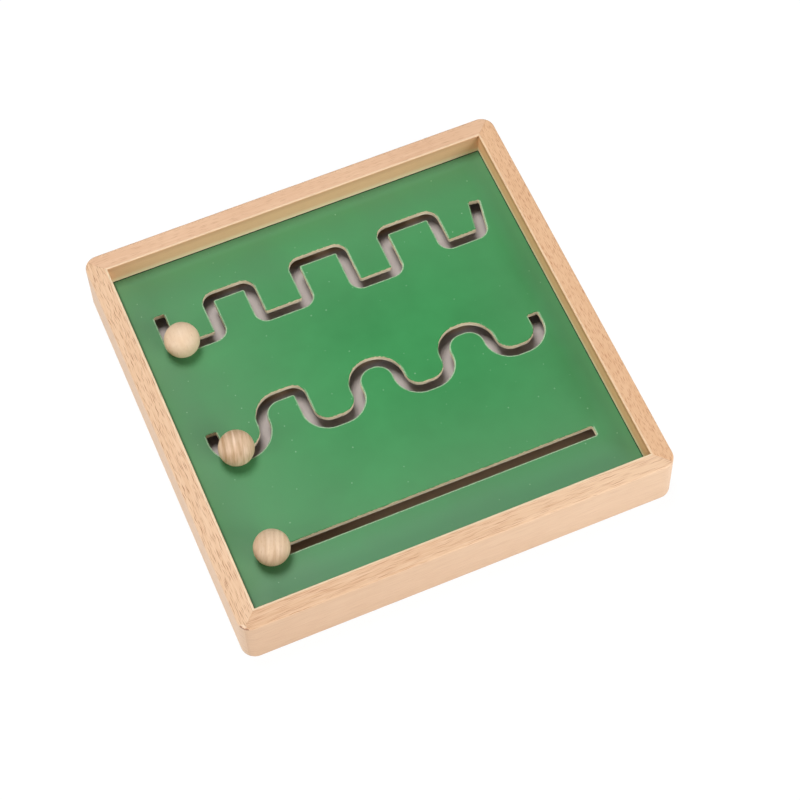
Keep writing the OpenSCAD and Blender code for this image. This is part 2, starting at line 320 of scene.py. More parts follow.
def newMaterial(name):
    material = bpy.data.materials.new(name)
    material.use_nodes = True
    tree = material.node_tree
    return material, tree, tree.nodes["Principled BSDF"].inputs


# Joins a colour, a roughness and a bump to the shader. The bump is a height with its strength and
# its distance in millimetres.
def finishShader(shader, colour, rough, bump, specular=0.5):
    height, strength, distance = bump
    normal = outputOf("ShaderNodeBump", {"Height": height, "Strength": strength, "Distance": distance * mm})
    for socket, label in ((colour, "Base Color"), (rough, "Roughness"), (normal, "Normal")):
        socket.id_data.links.new(socket, shader[label])
    shader["Specular IOR Level"].default_value = specular


# How near a place lies to a straight mark, 1 on the mark and 0 at its width
def markMask(place, mark):
    start = Vector(mark["from"])
    way = Vector(mark["to"]) - start
    offset = vectorOf("SUBTRACT", place, start)
    share = vectorOf("DOT_PRODUCT", offset, way / way.length_squared, "Value")
    share = mathOf("ADD", share, 0.0, clamp=True)
    away = vectorOf("DISTANCE", offset, scaledOf(way, share), "Value")
    return rangeOf(away, mark["width"] * 0.3, mark["width"], 1.0, 0.0)


# The grain's flat space on the face at hand: X along it, Y across the top or up the side
def faceSpace(along):
    normal = addNode(along.id_data, "ShaderNodeTexCoord").outputs["Normal"]
    onTop = mathOf("GREATER_THAN", mathOf("ABSOLUTE", partsOf(normal)[2]), 0.7)
    x, y, z = partsOf(along)
    across = outputOf("ShaderNodeMix", {0: onTop, 2: z, 3: y})
    return joinOf(x, across), onTop


# Beech of one rail. Its rays show as dark flecks on the top and faint ones on the sides.
def makeBeech(name, look):
    material, tree, shader = newMaterial(name)
    along = grainSpace(tree, (0, 0, look["turn"]), look["shift"])
    flat, onTop = faceSpace(along)
    grain = grainOf(along, look)
    flecks = times(flecksOf(flat, look), rangeOf(onTop, 0.0, 1.0, look["sideFlecks"], 1.0))
    mottle = mottleOf(along, 26.0, 0.35)
    # Painted light: the tone shifts along the rail as if a lamp stood nearer one end
    reach, middle = railSize["inner"] + railSize["width"], look["shift"][0]
    drift = rangeOf(partsOf(along)[0], middle - reach, middle + reach, -look["drift"], look["drift"])
    tone = sumOf((grain["Streaks"], look["streaks"]), (grain["Bands"], look["bands"]),
                 (grain["Lines"], look["lines"]), (mottle["Tone"], look["mottle"]), (drift, 1), clamp=True)
    place = grainSpace(tree)
    height = partsOf(place)[2]
    inner = attributeOf(tree, "inner")
    # Painted shade and light on the inner faces: tan for the shaded recess and the green panel's bounce, darker towards
    # their top and paler at their foot
    colour = layered(
        blendOf(tone, look["pale"], look["deep"]),
        (times(attributeOf(tree, "side"), look["sidePale"]), look["side"]),
        (times(inner, look["innerShadeTan"]), look["inner"]),
        (times(rangeOf(height, *look["shadeHighRange"]), inner), look["innerShadeHigh"]),
        (times(rangeOf(height, *look["litFootRange"]), inner), look["foot"]),
        (times(flecks, look["fleckDepth"]), look["fleck"]),
        (times(attributeOf(tree, "edge"), look["edgePale"]), look["edge"]),
        (times(attributeOf(tree, "seam"), look["seamDark"]), look["seam"]))
    ragged = times(mathOf("SUBTRACT", noiseOf(along, 1.3), 0.5), 0.6)
    spot = vectorOf("ADD", place, ragged)
    for mark in look["marks"]:
        colour = blendOf(times(markMask(spot, mark), mark["depth"]), colour, mark["colour"])
    rough = sumOf((grain["Lines"], 0.10), (look["rough"], 1), (flecks, 0.12))
    relief = sumOf((grain["Lines"], -0.35), (flecks, -0.7))
    finishShader(shader, colour, rough, (relief, 0.35, 0.05), 0.35)
    return material


railSize = {
    "inner": 100.0,  # from the middle to a rail's inner face
    "width": 10.0,
    "height": 30.0,
    "cornerRadius": 7.0,
    "knee": 3,  # from an inner corner back to where the corner stretch starts
    "outerEase": 0.9,
    "lowerEase": 0.4,
    "innerEase": 0.5,
    "groove": (14.0, 17.3),
    "grooveDepth": 4.0,
    "grooveLip": 0.12,
    "rebateWidth": 5.0,
    "rebateHeight": 6.8,
    "seamDepth": 0.04,
    "seamShare": 0.014,  # part of the corner stretch that dips to the seam
    "straightShare": 0.88,  # part of the stations that lies before the corner stretch
    "straightStations": 110,
    "cornerStations": 12,
    "handWear": 0.1,  # most that sanding took off an eased edge
}

plainBeech = {
    "turn": 0, "shift": (0, 0, 0), "pale": (243, 208, 172), "deep": (222, 178, 138), "side": (243, 212, 184),
    "sidePale": 0.5, "fleck": (160, 106, 70), "fleckDepth": 0.5, "fleckLength": 2.4, "fleckWidth": 0.2,
    "fleckShare": 0.3, "sideFlecks": 0.35, "streaks": 0.25, "streakWidth": 1.3, "streakLength": 40.0,
    "bands": 0.05, "bandSpacing": 4.5, "bandBend": 1.0, "lines": 0.35, "mottle": 0.2, "edge": (252, 234, 200),
    "edgePale": 0.65, "inner": (238, 190, 146), "innerShadeTan": 0.8, "innerShadeHigh": (214, 165, 126),
    "shadeHighRange": (26.0, 29.4), "foot": (252, 232, 194), "litFootRange": (17.8, 21.0, 0.9, 0.0), "seam": (176, 128, 92),
    "seamDark": 0.3, "drift": 0.0, "rough": 0.46, "marks": [],
}
# The mitre at the front left has split a little: a reddish crack with a pale wedge beside it
mitreMarks = [
    {"from": (-108.3, -105.8, 29.7), "to": (-107.1, -107.3, 29.7), "width": 0.9, "depth": 0.55,
     "colour": (255, 232, 206)},
    {"from": (-109.1, -105.8, 29.5), "to": (-108.2, -107.8, 29.4), "width": 0.55, "depth": 0.85,
     "colour": (142, 84, 60)},
    {"from": (-108.2, -108.0, 29.4), "to": (-106.5, -109.0, 29.6), "width": 0.5, "depth": 0.8,
     "colour": (142, 80, 58)},
]
railLooks = {
    # The front rail is painted paler towards its right end: painted light
    "front_rail": {**plainBeech, "shift": (31, 7, 3), "pale": (241, 205, 170), "deep": (216, 170, 130),
                   "lines": 0.45, "side": (243, 209, 178), "drift": -0.34, "fleckShare": 0.95,
                   "fleckDepth": 0.85, "fleckLength": 8.0, "fleckWidth": 0.1, "fleck": (168, 104, 70),
                   "sideFlecks": 0.3, "marks": mitreMarks},
    "right_rail": {**plainBeech, "turn": 90, "shift": (11, 43, 9), "pale": (238, 196, 156),
                   "deep": (217, 167, 124), "edgePale": 0.4, "inner": (246, 188, 136),
                   "innerShadeHigh": (196, 142, 96), "fleckShare": 0.95, "fleckDepth": 0.8, "fleckLength": 2.6,
                   "fleckWidth": 0.13, "fleck": (172, 104, 68)},
    "back_rail": {**plainBeech, "shift": (71, 91, 5), "pale": (236, 196, 161), "deep": (212, 164, 128),
                  "streaks": 0.2, "edgePale": 0.4, "lines": 0.25, "fleckShare": 0.6, "fleckDepth": 0.4,
                  "fleckLength": 3.6, "fleckWidth": 0.12},
    "left_rail": {**plainBeech, "turn": 90, "shift": (5, 17, 61), "pale": (242, 206, 171), "streaks": 0.3,
                  "streakWidth": 0.8, "streakLength": 30.0, "lines": 0.45, "fleckShare": 1.0,
                  "fleckDepth": 0.95, "fleckLength": 4.6, "fleckWidth": 0.13, "fleck": (156, 100, 68),
                  "marks": mitreMarks},
}


# Section of a rail, clockwise: place out from the inner face, height, how rounded the edge is there
# and how pale sanding left it
def railSection():
    size = railSize
    width, height, ease, inner = size["width"], size["height"], size["outerEase"], size["innerEase"]
    low, high = size["groove"]
    lip, depth, lower = size["grooveLip"], size["grooveDepth"], size["lowerEase"]
    rebate, board = size["rebateWidth"], size["rebateHeight"]
    section = []
    def run(start, end, steps):
        for k in range(steps):
            share = k / steps
            section.append((start[0] + (end[0] - start[0]) * share, start[1] + (end[1] - start[1]) * share, 0.0, 0.0))
    def rounded(centre, radius, start, pale=0.0, steps=6):
        for k in range(steps + 1):
            angle = math.radians(start - 90 * k / steps)
            edge = math.sin(math.pi * (k + 0.5) / (steps + 1))
            section.append((centre[0] + radius * math.cos(angle), centre[1] + radius * math.sin(angle), edge,
                            pale * k / steps))
    run((0, board), (0, low), 3)
    run((0, low), (depth, low), 1)
    run((depth, low), (depth, high), 1)
    run((depth, high), (lip, high), 1)
    run((lip, high), (0, high + lip), 1)
    run((0, high + lip), (0, height - inner), 6)
    rounded((inner, height - inner), inner, 180, 1.0)
    section.append((inner + 0.3, height, 0.0, 0.9))
    run((inner + 0.7, height), (width - ease - 0.6, height), 6)
    section.append((width - ease - 0.6, height, 0.0, 0.0))
    rounded((width - ease, height - ease), ease, 90)
    run((width, height - ease - 0.8), (width, lower + 0.8), 8)
    section.append((width, lower + 0.8, 0.0, 0.0))
    rounded((width - lower, lower), lower, 0)
    run((width - lower, 0), (rebate, 0), 2)
    run((rebate, 0), (rebate, board), 2)
    run((rebate, board), (0, board), 1)
    clean = [section[0]]
    for point in section[1:]:
        if math.dist(point[:2], clean[-1][:2]) > 1e-4:
            clean.append(point)
    return clean


# Where a point of the section lies at a share of the way from the middle of the front rail to its
# mitre: straight first, then round the upright corner
def alongRail(out, height, share):
    size = railSize
    knee = size["inner"] - size["knee"]
    straight = size["straightShare"]
    side = 1 if share >= 0 else -1
    share = abs(share)
    pivot = size["width"] - size["cornerRadius"]
    y = -(size["inner"] + out)
    if share <= straight:
        return Vector((side * knee * share / straight, y, height))
    part = (share - straight) / (1 - straight)
    if out <= pivot:
        return Vector((side * (knee + part * (size["inner"] + out - knee)), y, height))
    radius = out - pivot
    lead = size["inner"] + pivot - knee
    travelled = part * (lead + radius * math.pi / 4)
    if travelled <= lead:
        return Vector((side * (knee + travelled), y, height))
    angle = (travelled - lead) / radius
    centre = size["inner"] + pivot
    return Vector((side * (centre + radius * math.sin(angle)), -(centre + radius * math.cos(angle)), height))


def makeRail(name, turn, look):
    size = railSize
    section = railSection()
    count = len(section)
    straight, bends = size["straightShare"], size["cornerStations"]
    shares = [straight * k / size["straightStations"] for k in range(size["straightStations"])]
    shares += [straight + (1 - straight) * (1 - size["seamShare"]) * k / bends for k in range(bends + 1)]
    shares.append(1.0)
    stations = [-s for s in reversed(shares[1:])] + shares
    spin = Matrix.Rotation(math.radians(turn), 3, "Z")
    points, marks = [], {"edge": [], "side": [], "inner": [], "seam": []}
    for share in stations:
        seam = 1.0 if abs(share) == 1.0 else 0.0
        for j, (out, height, edge, pale) in enumerate(section):
            before, after = section[j - 1], section[(j + 1) % count]
            inward = Vector((after[1] - before[1], -(after[0] - before[0]))).normalized()
            dip = seam * size["seamDepth"]
            if edge:
                wear = noise.noise(Vector((share * 9 + turn, out * 0.2, height * 0.2))) * 0.5 + 0.5
                dip += edge * wear * size["handWear"]
            place = out + inward[0] * dip, height + inward[1] * dip
            if out <= size["rebateWidth"] and height < size["groove"][1] + size["grooveLip"]:
                place = out, height
            points.append(spin @ alongRail(place[0], place[1], share))
            marks["edge"].append(pale)
            marks["side"].append(1.0 if out > size["width"] - 0.3 else 0.0)
            marks["inner"].append(1.0 if out < 0.1 else 0.0)
            marks["seam"].append(seam)
    rail = makePiece(name + "_beech", points, ringFaces(len(stations), count, capped=True), marks)
    rail.data.materials.append(makeBeech(name + "_beech", look))
    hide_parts(name)
    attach(rail, "board")


for turn, (name, look) in zip((0, 90, 180, 270), railLooks.items()):
    makeRail(name, turn, look)
print("rails made")


trackPlan = {
    "halfWidth": 2.75,
    "endRadius": 1.0,
    "step": 0.5,  # spacing of the points along an outline
    "span": 169.2,  # from the first leg to the last
    "legs": 8,
    "placeStep": 0.02,
    # Shifts are those of a track drawn by hand, in hundredths of the legs' pitch. A level has a bend
    # that leads on to it and one that leads off it.
    "square": {"line": 62.0, "crest": 11.8, "trough": 11.5, "end": 72.6, "lean": 10.5,
               "legShift": [0, 4.1, -5.8, -2.9, 1.2, -5.8, 6.2, -8.7],
               "levelShift": [-0.8, -4.1, 2.5, 2.5, -2.5, 2.1, 12.8], "bends": [(3.6, 3.6)] * 7},
    "round": {"line": -4.6, "crest": 10.9, "trough": 12.5, "end": 0.0, "lean": 0.0,
              "legShift": [0, 5.8, -2.9, 5, -4.1, 0.4, -3.3, 1.2],
              "levelShift": [-1.2, 2.9, -1.7, -1.7, 0.4, -1.7, 3.7],
              "bends": [(12.79, 12.79), (10.5, 4.0)] + [(10.5, 10.5)] * 5},
    "straight": {"y": -72.0, "ends": (-85.0, 85.0)},
}


# Places of a winding track's legs and levels
def trackPlaces(plan):
    pitch = trackPlan["span"] / (trackPlan["legs"] - 1)
    def stepped(place):
        return round(place / trackPlan["placeStep"]) * trackPlan["placeStep"]
    legs = [stepped(pitch * (i + shift / 100) - trackPlan["span"] / 2) for i, shift in enumerate(plan["legShift"])]
    levels = []
    for i, shift in enumerate(plan["levelShift"]):
        rise = plan["crest"] if i % 2 else -plan["trough"]
        levels.append(stepped(plan["line"] + rise + pitch * shift / 100))
    return legs, levels


# Middle line of a track as points with their headings, short of each closed end by its radius
def trackLine(plan):
    line = []
    step = trackPlan["step"]
    def straight(start, end):
        heading = Vector(end) - Vector(start)
        steps = max(1, round(heading.length / step))
        for k in range(steps):
            line.append((Vector(start) + heading * k / steps, heading.normalized()))
    def bend(centre, radius, start, end):
        steps = max(6, round(math.radians(abs(end - start)) * radius / step))
        sign = 1 if end > start else -1
        for k in range(steps):
            angle = math.radians(start + (end - start) * k / steps)
            ray = Vector((math.cos(angle), math.sin(angle)))
            line.append((Vector(centre) + ray * radius, Vector((-ray.y, ray.x)) * sign))
    gap = trackPlan["endRadius"]
    if "y" in plan:
        left, right = plan["ends"]
        straight((left + gap, plan["y"]), (right - gap, plan["y"]))
        line.append((Vector((right - gap, plan["y"])), Vector((1, 0))))
        return line
    legs, levels = trackPlaces(plan)
    previous = plan["end"] - gap
    for i, (level, (onto, off)) in enumerate(zip(levels, plan["bends"])):
        sign = -1 if i % 2 else 1
        foot = level + sign * onto
        if abs(previous - foot) > 0.01:
            straight((legs[i], previous), (legs[i], foot))
        bend((legs[i] + onto, foot), onto, 180, 180 + sign * 90)
        if legs[i + 1] - legs[i] > onto + off + 0.01:
            straight((legs[i] + onto, level), (legs[i + 1] - off, level))
        previous = level + sign * off
        bend((legs[i + 1] - off, previous), off, sign * -90, 0)
    lean = math.radians(plan["lean"])
    heading = Vector((math.sin(lean), math.cos(lean)))
    end = Vector((legs[-1], previous)) + heading * ((plan["end"] - previous) / math.cos(lean) - gap)
    straight((legs[-1], previous), end)
    line.append((end, heading))
    return line


# Outline of a slot, clockwise from above: points and the way from each into the panel
def slotOutline(plan):
    line = trackLine(plan)
    half, gap = trackPlan["halfWidth"], trackPlan["endRadius"]
    outline = []
    def side(points, sign):
        for place, heading in points:
            across = Vector((-heading.y, heading.x)) * sign
            outline.append((place + across * half, across))
    def cap(place, heading):
        across = Vector((-heading.y, heading.x))
        for sign, start in ((1, 0), (-1, 90)):
            centre = place + across * (half - gap) * sign
            for k in range(1, 6):
                angle = math.radians(start + 90 * k / 6)
                ray = across * math.cos(angle) + heading * math.sin(angle)
                outline.append((centre + ray * gap, ray))
            if sign == 1:
                for k in range(7):
                    outline.append((centre + heading * gap - across * (2 * (half - gap)) * k / 6, heading))
    side(line, 1)
    cap(*line[-1])
    side(reversed(line), -1)
    cap(line[0][0], -line[0][1])
    return outline


panelSize = {
    "half": 103.7,
    "top": 17.2,
    "borderSteps": 40,
    "fuzz": 0.1,  # how far the cut fibres stray at the rim
    "wander": 0.05,
    # place into the panel and depth under its face, from the paint over the rounded rim and down
    "rim": [(0.8, 0.0), (0.6, 0.0), (0.44, 0.02), (0.28, 0.07), (0.13, 0.18), (0.03, 0.34), (0.0, 0.55), (0.02, 1.1),
            (0.0, 1.8), (0.03, 2.5), (0.0, 3.0), (0.14, 3.2), (0.62, 3.2)],
    "border": [(0.4, 0.0), (0.0, 0.25), (0.0, 2.95), (0.4, 3.2)],
}


def insideRing(places, ring):
    after = np.roll(ring, -1, axis=0)
    inside = np.zeros(len(places), bool)
    for (x0, y0), (x1, y1) in zip(ring, after):
        if y0 == y1:
            continue
        crosses = (y0 > places[:, 1]) != (y1 > places[:, 1])
        at = x0 + (places[:, 1] - y0) * (x1 - x0) / (y1 - y0)
        inside ^= crosses & (places[:, 0] < at)
    return inside


# The panel: a strip of faces down every edge, and both faces filled between the strips
def makePanel(outlines):
    size = panelSize
    points, faces, bare, facing = [], [], [], []
    tops, bottoms, flat, constraints = [], [], [], []
    def addLoop(outline, rows, ragged):
        count, start, first = len(outline), len(points), len(flat)
        for r, (into, depth) in enumerate(rows):
            raw = 1.0 if depth > 0.4 else max(0.0, 1 - into / rows[0][0])
            for place, across in outline:
                stray = 0.0
                if ragged and 0 < r < len(rows) - 1:
                    spot = Vector((place.x, place.y, depth))
                    stray = noise.noise(spot * 2.3) * size["fuzz"] * (1.0 if depth < 0.3 else 0.5)
                    stray += noise.noise(spot * 0.25 + Vector((9, 4, 2))) * size["wander"]
                    stray = max(stray, -0.05 - into)
                spot = place + across * (into + stray)
                points.append((spot.x, spot.y, size["top"] - depth))
                bare.append(raw)
                facing.append(-across.y if ragged else -1.0)
        faces.extend(ringFaces(len(rows), count, start, flipped=True))
        flat.extend(Vector(point[:2]) for point in points[start:start + count])
        tops.extend(range(start, start + count))
        bottoms.extend(range(len(points) - count, len(points)))
        constraints.extend((first + j, first + (j + 1) % count) for j in range(count))
    half, steps = size["half"], size["borderSteps"]
    border = []
    corners = [Vector(c) for c in ((-half, -half), (half, -half), (half, half), (-half, half))]
    for k, corner in enumerate(corners):
        after = corners[(k + 1) % 4]
        heading = (after - corner).normalized()
        outward = Vector((heading.y, -heading.x))
        for n in range(steps):
            place = corner + (after - corner) * n / steps
            diagonal = corner.normalized() * math.sqrt(2) if n == 0 else outward
            border.append((place, -diagonal))
    addLoop(border, size["border"], False)
    holes = []
    for outline in outlines:
        addLoop(outline, size["rim"], True)
        holes.append(np.array([place + across * size["rim"][0][0] for place, across in outline]))
    made, _, triangles, origins, _, _ = delaunay_2d_cdt(flat, constraints, [], 0, 1e-7)
    back = {n: found[0] for n, found in enumerate(origins) if found}
    middles = np.array([[made[c] for c in t] for t in triangles]).mean(axis=1)
    keep = ~np.logical_or.reduce([insideRing(middles, hole) for hole in holes])
    for wanted, triangle in zip(keep, triangles):
        if not wanted or any(c not in back for c in triangle):
            continue
        a, b, c = (back[n] for n in triangle)
        turn = (flat[b] - flat[a]).cross(flat[c] - flat[a])
        if abs(turn) < 1e-9:
            continue
        if turn < 0:
            b, c = c, b
        faces.append([tops[a], tops[b], tops[c]])
        faces.append([bottoms[a], bottoms[c], bottoms[b]])
    return makePiece("track_panel_painted", points, faces, {"bare": bare, "facing": facing})


# Satin green paint over fibreboard. The cut edges are bare, with a pale rim of torn fibre.
paintLook = {
    # The underside colour is painted near black brown, darker than raw board: painted shade for the hollow under the
    # panel
    "green": (54, 147, 80), "greenDeep": (44, 135, 70), "lip": (188, 216, 180), "under": (58, 42, 32),
    # A painted sheen: the paint is greyer outwards from one place, for the light that its satin face reflects; reach is
    # to the left and the back edge from there
    "sheen": (122, 153, 122), "sheenAmount": 0.42, "sheenMiddle": (20, 3, 0), "sheenReach": (115, 100),
    "sheenRise": 1.8, "border": (22, 50, 32), "creaseShadeRange": (99.4, 99.7), "creaseShadeDepth": 0.85,
    "leftShadeRange": (-98.4, -97.6), "leftShadeDepth": 0.5, "speck": (150, 196, 158), "speckDepth": 0.65,
    "specks": {"Spacing": 8.5, "Radius": 0.28, "Share": 0.32},
    "bareTop": (202, 204, 162), "bare": (246, 232, 198), "bareDeep": (224, 204, 168), "litBareFoot": (255, 248, 226),
    # Where the painted highlight on the lip shows and where the paint ends, on the way from the face to the cut
    "highlightRange": (0.03, 0.28), "chipRange": (0.94, 1.02), "chipScale": 0.7, "teeth": 0.35, "rough": 0.4,
    # Heights between which the underside, the bare edge, its foot painted paler as if lit, and its torn top begin or
    # end
    "underRange": (14.0, 14.4), "bareRange": (14.0, 14.2), "litFootRange": (14.3, 16.0), "tornRange": (16.6, 17.1),
    # Painted light: a lighter margin beside the rails, for the light they throw back onto the paint; its axis, where it
    # starts and is full, and its strength
    "margin": (114, 176, 138), "marginAmount": 0.3,
    "margins": (("y", -78.0, -92.0, 1.0), ("x", 88.0, 97.0, 0.75), ("y", 93.0, 98.0, 1.0), ("x", -84.0, -95.0, 0.25)),
}


def makePaint(look):
    material, tree, shader = newMaterial("green_paint")
    place = grainSpace(tree)
    x, y, z = partsOf(place)
    mottle = mottleOf(place, 30.0, 0.45)
    # Painted sheen: the paint turns greyer outwards towards the edges, as if it reflected the light
    away = vectorOf("SUBTRACT", place, look["sheenMiddle"])
    away = stretch(away, 1 / look["sheenReach"][0], 1 / look["sheenReach"][1], 0.0)
    far = [mathOf("POWER", mathOf("ABSOLUTE", part), 4.0) for part in partsOf(away)[:2]]
    sheen = mathOf("POWER", mathOf("ADD", *far), look["sheenRise"] / 4)
    sheen = times(sheen, look["sheenAmount"])
    sheen = times(sheen, rangeOf(mottle["Tone"], -0.5, 1.0, 0.75, 1.1), clamp=True)
    margin = largest(*[rangeOf({"x": x, "y": y}[axis], start, full, 0.0, strength)
                       for axis, start, full, strength in look["margins"]])
    specks = grouped(speckGroup, {"Vector": place, **look["specks"]})[0]
    # Painted shade: the paint is darkened in the corner under the rails, and a little farther in at the left, where the
    # rail's shadow falls
    rim = largest(mathOf("ABSOLUTE", x), mathOf("ABSOLUTE", y))
    creaseShade = largest(rangeOf(rim, *look["creaseShadeRange"], 0.0, look["creaseShadeDepth"]),
                  rangeOf(x, *look["leftShadeRange"], look["leftShadeDepth"], 0.0))
    # A painted highlight: a pale lip on the slot rims whose rounding faces the back, where the overhead lamp catches
    # them. The underside has none.
    cut = attributeOf(tree, "bare")
    lip = times(rangeOf(cut, *look["highlightRange"]), rangeOf(attributeOf(tree, "facing"), -0.4, 0.2))
    lip = times(lip, rangeOf(mottle["Fine"], 0.2, 0.7, 0.45, 1.0))
    colour = layered(
        blendOf(mottle["Tone"], look["green"], look["greenDeep"]), (sheen, look["sheen"]),
        (times(margin, look["marginAmount"]), look["margin"]),
        (times(specks, look["speckDepth"]), look["speck"]), (creaseShade, look["border"]), (lip, look["lip"]),
        (rangeOf(z, *look["underRange"], 1.0, 0.0), look["under"]))
    fibre = mottleOf(stretch(place, 1.0, 1.0, 2.2), 1.1, 0.25)
    torn = times(rangeOf(z, *look["tornRange"]), rangeOf(fibre["Fine"], 0.0, 1.0, 0.4, 1.0))
    # The bare edge is painted paler towards its foot: painted light down the slot walls
    raw = layered(blendOf(fibre["Tone"], look["bare"], look["bareDeep"]),
                  (rangeOf(z, *look["litFootRange"], 0.8, 0.0), look["litBareFoot"]), (torn, look["bareTop"]))
    # Where the paint ends: chipped in flakes about a millimetre long, with fine teeth between
    chips = mathOf("SUBTRACT", noiseOf(place, look["chipScale"]), 0.5)
    teeth = mathOf("SUBTRACT", fibre["Fine"], 0.5)
    bare = rangeOf(mathOf("ADD", cut, sumOf((chips, 1), (teeth, look["teeth"]))), *look["chipRange"])
    bare = largest(bare, rangeOf(cut, 0.98, 1.0))
    bare = times(bare, rangeOf(z, *look["bareRange"]))
    colour = blendOf(bare, colour, raw)
    rough = sumOf((mottle["Fine"], 0.08), (look["rough"], 1), (bare, 0.4))
    relief = sumOf((mottle["Fine"], 0.15), (times(fibre["Fine"], bare), 1.2), (specks, 0.6))
    finishShader(shader, colour, rough, (relief, 0.3, 0.06), 0.2)
    return material


panel = makePanel([slotOutline(trackPlan[name]) for name in ("square", "round", "straight")])
panel.data.materials.append(makePaint(paintLook))
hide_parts("track_panel")
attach(panel, "board")
print("track panel made:", len(panel.data.polygons), "faces")


# Plain hardboard of the base, seen through the slots and from below, with rows of painted warm shade under the panel
# behind the slots
boardLook = {"pale": (228, 216, 209), "deep": (210, 197, 192), "below": (178, 142, 104), "belowDeep": (150, 114, 82),
             "warmShade": (224, 190, 156), "warmShadeRows": ((-71.5, -62.0), (12.5, 20.0), (80.0, 90.0)), "warmShadeFade": 3.0,
             "topRange": (6.4, 6.7), "rough": (0.62, 0.8)}


def makeFibreboard(look):
    material, tree, shader = newMaterial("base_fibreboard")
    place = grainSpace(tree)
    _, y, z = partsOf(place)
    mottle = mottleOf(place, 9.0, 0.4)
    tone = sumOf((mottle["Tone"], 0.6), (mottle["Fine"], 0.4))
    colour = blendOf(tone, look["pale"], look["deep"])
    fade = look["warmShadeFade"]
    # Painted shade: warmer, darker rows where the panel hides the board behind the slots
    for low, high in look["warmShadeRows"]:
        row = times(rangeOf(y, low - fade, low), rangeOf(y, high + fade, high))
        colour = blendOf(row, colour, look["warmShade"])
    under = blendOf(tone, look["below"], look["belowDeep"])
    colour = blendOf(rangeOf(z, *look["topRange"]), under, colour)
    rough = rangeOf(mottle["Fine"], 0.0, 1.0, *look["rough"])
    finishShader(shader, colour, rough, (mottle["Fine"], 0.25, 0.05), 0.3)
    return material


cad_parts["base_board"].data.materials.clear()
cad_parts["base_board"].data.materials.append(makeFibreboard(boardLook))


# Turned and dowel wood of the knobs, with its bands and streaks
def makeTurnedWood(name, look):
    material, tree, shader = newMaterial(name)
    along = grainSpace(tree, look["turn"], look["shift"])
    grain = grainOf(stretch(along, 1.0, 1.0, look["flatten"]), look)
    flecks = flecksOf(along, look)
    mottle = mottleOf(along, 7.0, 0.3)
    tone = sumOf((grain["Bands"], look["bands"]), (grain["Streaks"], look["streaks"]), (mottle["Tone"], look["mottle"]),
                 (grain["Lines"], look["lines"]), clamp=True)
    colour = layered(blendOf(tone, look["pale"], look["deep"]), (times(flecks, look["fleckDepth"]), look["fleck"]))
    rough = sumOf((grain["Lines"], 0.12), (look["rough"], 1))
    finishShader(shader, colour, rough, (times(grain["Lines"], -1.0), 0.2, 0.04), 0.35)
    return material


steelLook = {"pale": (196, 196, 200), "deep": (164, 163, 164), "rough": (0.24, 0.42)}
plywoodLook = {"turn": 25, "streakWidth": 0.8, "streakLength": 18.0, "bandSpacing": 3.0, "bandBend": 1.0,
               "pale": ((220, 188, 142), (196, 158, 112)), "dark": ((182, 142, 98), (150, 112, 76)), "plies": 3.0,
               "rough": (0.6, 0.78)}


# Zinc-plated steel of screws and pins
def makeSteel(name, look):
    material, tree, shader = newMaterial(name)
    mottle = mottleOf(grainSpace(tree), 1.6, 0.12)
    colour = blendOf(mottle["Tone"], look["pale"], look["deep"])
    shader["Metallic"].default_value = 1.0
    rough = rangeOf(mottle["Fine"], 0.0, 1.0, *look["rough"])
    finishShader(shader, colour, rough, (mottle["Fine"], 0.15, 0.02))
    return material


# Thin plywood: its plies show as bands on the rim
def makePlywood(name, look, low, high):
    material, tree, shader = newMaterial(name)
    place = grainSpace(tree, (0, 0, look["turn"]))
    depth = rangeOf(partsOf(place)[2], low, high)
    ply = mathOf("PINGPONG", times(depth, look["plies"]), 1.0)
    grain = grainOf(place, look)
    pale = blendOf(grain["Streaks"], *look["pale"])
    dark = blendOf(grain["Lines"], *look["dark"])
    colour = blendOf(rangeOf(ply, 0.42, 0.58), dark, pale)
    rough = rangeOf(grain["Lines"], 0.0, 1.0, *look["rough"])
    finishShader(shader, colour, rough, (grain["Lines"], 0.25, 0.05))
    return material


knobSize = {
    "ballRadius": 8.8,
    "ballMiddle": 24.7,
    "ballFlat": 17.5,
    "ballSteps": 40,
    "boreRadius": 2.45,
    "boreTop": 26.8,
    "boreEase": (0.12, 0.15),
    "pegRadius": 2.4,
    "pegLow": 13.7,
    "pegHigh": 26.5,
    "pegEase": 0.3,
    "pilotRadius": 1.13,
    "pilotTop": 21.0,
    "pilotPoint": 0.6,
    "washerRadius": 6.5,
    "washerLow": 10.6,
    "washerHigh": 13.6,
    "washerBore": 1.16,
    "washerChamfer": 0.4,
    "headLow": 8.9,
    "headHigh": 10.5,
    "shankTop": 20.7,
    "threadCrest": 1.1,
    "threadRoot": 0.78,
    "threadPitch": 0.9,
    "threadStart": 0.9,  # length over which the thread rises out of the shank
    "threadTaper": 2.2,  # length of the point
    # reach and waist of the cross recess with its depth over the head's face, and the head's rim
    "recess": [(0.5, 0.28, 0.95), (1.45, 0.5, 0.12), (1.5, 0.62, 0.0)],
    "dome": [(1.75, 0.0), (2.05, 0.1), (2.3, 0.32), (2.45, 0.62), (2.5, 0.95), (2.5, 1.5), (2.42, 1.6)],
}
plainTurned = {
    "turn": (0, 0, 90), "shift": (0, 0, 0), "pale": (239, 212, 182), "deep": (218, 182, 146),
    "fleck": (190, 146, 106), "fleckDepth": 0.4, "fleckLength": 1.0, "fleckWidth": 0.14, "fleckShare": 0.2,
    "mottle": 0.2, "lines": 0.12, "streaks": 0.25, "streakWidth": 1.1, "streakLength": 30.0, "bands": 0.15,
    "bandSpacing": 3.2, "bandBend": 0.6, "rough": 0.42,
    "flatten": 1.0,  # how much the grain changes with depth, small where it was cut in flat rings
}
